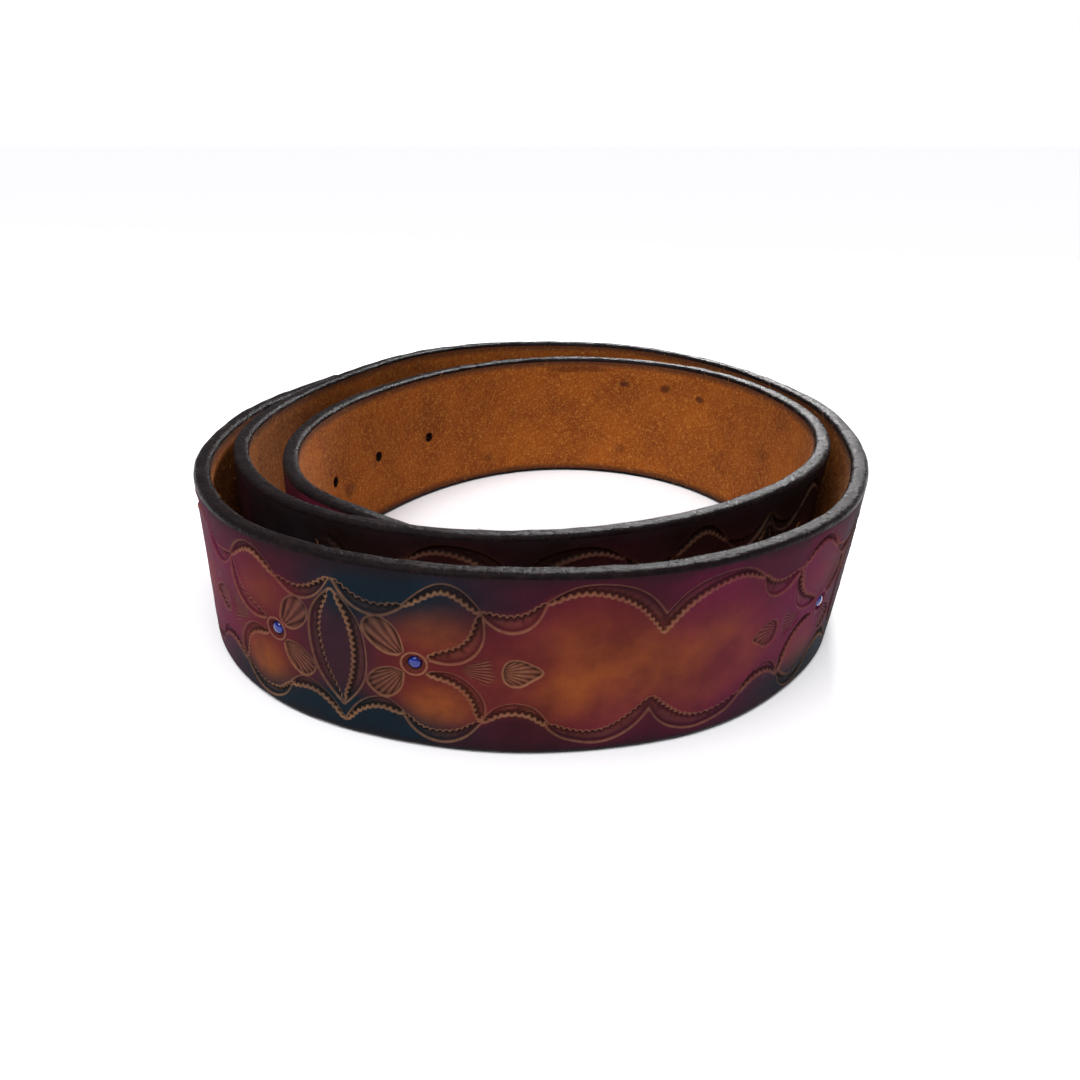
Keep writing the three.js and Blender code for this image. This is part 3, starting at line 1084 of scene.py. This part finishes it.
# dark and light: the hole walls, kept dark as painted shade inside the holes
punches = {"count": 5, "pitch": 24.1, "diameter": 3.0, "lastFromTip": 47.0, "sides": 28, "length": 9.0,
           "dark": tint(20, 12, 9), "light": tint(58, 34, 20), "fibreScale": 1800.0}


def punchTree():
    sheet, given = newTree("punchTree", Diameter=0.003, Length=0.009)
    rod = sheet.node("GeometryNodeMeshCylinder", None, {
        "Vertices": punches["sides"], "Radius": given["Diameter"] * 0.5, "Depth": given["Length"]})
    return endTree(sheet, standOn(sheet, given["Geometry"], rod), given)


# the hole walls are kept dark: painted shade inside the holes, over the brown of the cut leather
def punchedWall():
    sheet = newMaterial("punchedWall")
    cut = sheet.noise(punches["fibreScale"], 3.0)
    colour = sheet.blend(cut, punches["dark"], punches["light"])
    return finishShader(sheet, colour, 0.9, 0.1)


def punchHoles(strap):
    distances = strapLength - punches["lastFromTip"] - punches["pitch"] * np.arange(punches["count"])
    heights = alongRoute("lift", distances) + coil["width"] / 2
    base = pointsOnStrap("punchPlaces", distances, 0.0, heights)
    sizes = inMetres(punches, "diameter", "length")
    rods = growPiece("punchRods", base, punchTree(), punchedWall(), **sizes)
    cut = strap.modifiers.new("holes", "BOOLEAN")
    cut.operation = "DIFFERENCE"
    cut.solver = "EXACT"
    cut.object = rods
    cut.material_mode = "TRANSFER"  # the cut walls take the rods' material
    strap.data = settledMesh(strap)
    bpy.data.objects.remove(rods)
    print("holes punched:", punches["count"])


# The glass cabochons, in the seats of the stone nodes

cabochon = {"diameter": 2.6, "dome": 0.78, "girdle": 0.35, "proud": 0.2,
            "tone": tint(20, 40, 142), "depths": tint(10, 18, 74), "swirlScale": 900.0}


def stoneGlass():
    sheet = newMaterial("stoneGlass")
    swirl = sheet.noise(cabochon["swirlScale"], 3.0)
    deep = sheet.ramp(swirl, (0.35, 0.0), (0.7, 1.0))
    colour = sheet.blend(deep, cabochon["tone"], cabochon["depths"])
    coat = {"Coat Weight": 0.7, "Coat Roughness": 0.04}
    return finishShader(sheet, colour, 0.12 + 0.08 * swirl, 0.3, **coat)


def cabochonTree():
    sheet, given = newTree("cabochonTree", Diameter=0.0025, Dome=0.0008, Girdle=0.0004)
    ball = sheet.node("GeometryNodeMeshUVSphere", None, {"Segments": 32, "Rings": 20, "Radius": 1.0})
    place = sheet.node("GeometryNodeInputPosition")
    x, y, z = (sheet.node("ShaderNodeSeparateXYZ", None, {"Vector": place}, axis) for axis in "XYZ")
    upper = z.maths("MAXIMUM", z, 0.0) * given["Dome"]
    lower = z.maths("MINIMUM", z, 0.0) * given["Girdle"]
    radius = given["Diameter"] * 0.5
    shaped = sheet.point(x * radius, y * radius, upper + lower)
    stone = sheet.node("GeometryNodeSetPosition", None, {"Geometry": ball, "Position": shaped})
    smooth = sheet.node("GeometryNodeSetShadeSmooth", None, {"Geometry": stone})
    return endTree(sheet, standOn(sheet, given["Geometry"], smooth), given)


def setStones():
    out = coil["leather"] / 2 - cabochon["dome"] + cabochon["proud"]
    heights = [sum(corner.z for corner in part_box(name)) / 2 / mm for name in stoneNames]
    base = pointsOnStrap("cabochonPlaces", np.array(stonePlaces), out, heights)
    sizes = inMetres(cabochon, "diameter", "dome", "girdle")
    return growPiece("cabochons", base, cabochonTree(), stoneGlass(), **sizes)


# Loose fibres of the flesh side

fibres = {"perSquareMetre": 170000.0, "length": 1.3, "thickness": 0.055, "lift": 0.35, "seed": 5,
          "tone": tint(198, 142, 78), "deepTone": tint(140, 84, 40), "patchScale": 120.0}


def fibreTree():
    sheet, given = newTree("fibreTree", Density=1000.0, Length=0.001, Thickness=0.00005, Lift=0.0003,
                           Seed=1)
    length, lift, seed = given["Length"], given["Lift"], given["Seed"]
    points = sheet.node("GeometryNodeDistributePointsOnFaces", None, {
        "Mesh": given["Geometry"], "Density": given["Density"], "Seed": seed}, "Points")
    normal = Wire(sheet, points.socket.node.outputs["Normal"])
    hair = sheet.node("GeometryNodeCurveQuadraticBezier", None, {
        "Resolution": 3, "Start": sheet.point(0.0, 0.0, lift * -0.4),
        "Middle": sheet.point(length * 0.45, length * 0.2, lift * 1.5),
        "End": sheet.point(length, 0.0, lift * 0.5)})
    profile = sheet.node("GeometryNodeCurvePrimitiveCircle", None,
                         {"Resolution": 3, "Radius": given["Thickness"] * 0.5})
    hairMesh = sheet.node("GeometryNodeCurveToMesh", None,
                          {"Curve": hair, "Profile Curve": profile, "Fill Caps": True})
    upright = sheet.node("FunctionNodeAlignRotationToVector", {"axis": "Z"}, {"Vector": normal})
    around = sheet.node("FunctionNodeAxisAngleToRotation", None,
                        {"Axis": (0.0, 0.0, 1.0), "Angle": sheet.chance(0.0, 2 * math.pi, seed)})
    turned = sheet.node("FunctionNodeRotateRotation", {"rotation_space": "LOCAL"},
                        {"Rotation": upright, "Rotate By": around})
    copies = sheet.node("GeometryNodeInstanceOnPoints", None, {
        "Points": points, "Instance": hairMesh, "Rotation": turned,
        "Scale": sheet.chance(0.5, 1.4, seed + 1)})
    return endTree(sheet, copies, given)


def fibreLook():
    sheet = newMaterial("fibreLook")
    patchy = sheet.noise(fibres["patchScale"], 3.0)
    colour = sheet.blend(patchy, fibres["deepTone"], fibres["tone"])
    return finishShader(sheet, colour, 0.8, 0.2)


def growFibres(strap):
    # the flesh faces alone, copied, are the ground that the fibres grow on
    clear = fibres["length"] * mm
    flesh = [p for p in strap.data.polygons if p.material_index == fleshSlot and p.center.z > clear]
    ground = bpy.data.meshes.new("fleshGround")
    used = sorted({v for p in flesh for v in p.vertices})
    number = {v: i for i, v in enumerate(used)}
    ground.from_pydata([tuple(strap.data.vertices[v].co) for v in used], [],
                       [[number[v] for v in p.vertices] for p in flesh])
    sizes = inMetres(fibres, "length", "thickness", "lift")
    return growPiece("fleshFibres", ground, fibreTree(), fibreLook(), **sizes,
                     Density=fibres["perSquareMetre"], Seed=fibres["seed"])


strap = makeStrap()
punchHoles(strap)
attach(strap, "root")
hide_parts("strap")
fuzz = growFibres(strap)
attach(fuzz, "root")
stones = setStones()
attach(stones, "root")
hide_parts(*stoneNames)
print("pieces ride on the root body")
